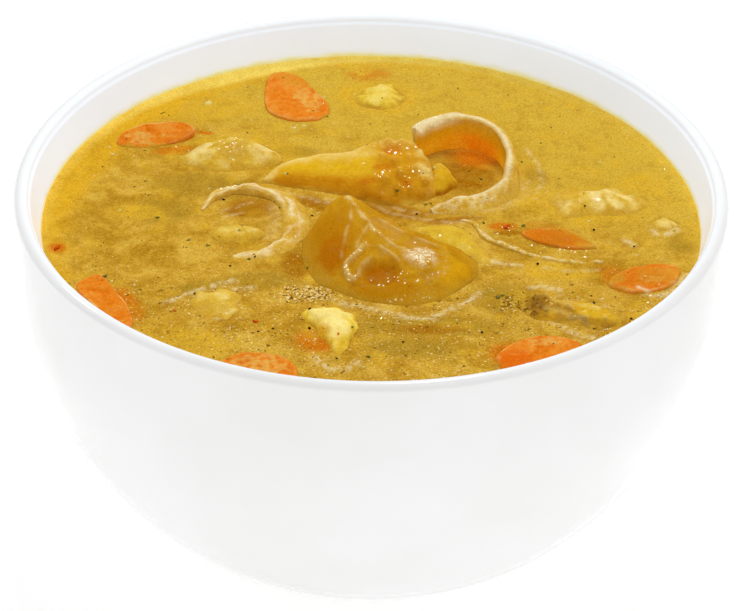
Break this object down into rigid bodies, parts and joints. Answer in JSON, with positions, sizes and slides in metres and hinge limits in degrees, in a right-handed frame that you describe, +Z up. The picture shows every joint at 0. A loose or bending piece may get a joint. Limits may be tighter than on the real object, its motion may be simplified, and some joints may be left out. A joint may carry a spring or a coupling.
{
  "type": "bowl of cow foot soup",
  "caption": "Deep round white bowl of golden cow foot soup, with curled skin, tendon, a folded chunk of foot, carrot and soft yellow pieces at the surface.",
  "frame": {"origin": "centre of the foot ring's underside", "axes": "+Z up, the eater sits on the -Y side, +X to the eater's right"},
  "size_m": [0.16, 0.16, 0.084],
  "materials": {
    "porcelain": "glossy white glaze",
    "broth": "cloudy golden broth, wet",
    "carrot": "cooked carrot, wet",
    "skin": "boiled skin, glossy and gelatinous",
    "tendon": "boiled tendon, glossy",
    "fat": "soft yellow fat, wet",
    "potato": "soft cooked root, moist"
  },
  "bodies": {
    "root": {"bowl": "porcelain", "broth": "broth", "carrot_back": "carrot", "carrot_left_back": "carrot", "carrot_left_front": "carrot", "carrot_front": "carrot", "carrot_right_front": "carrot", "carrot_right": "carrot", "carrot_sliver": "carrot", "skin_curl": "skin", "skin_ring": "skin", "skin_sheet": "skin", "tendon_strip": "tendon", "tendon_knob": "tendon", "foot_chunk": "skin", "fat_slab": "fat", "meat_left": "fat", "meat_right": "fat", "meat_right_small": "fat", "meat_front_right": "tendon", "meat_left_front": "fat", "potato_front": "potato", "potato_back": "potato", "potato_in_ring": "potato"}
  },
  "joints": []
}
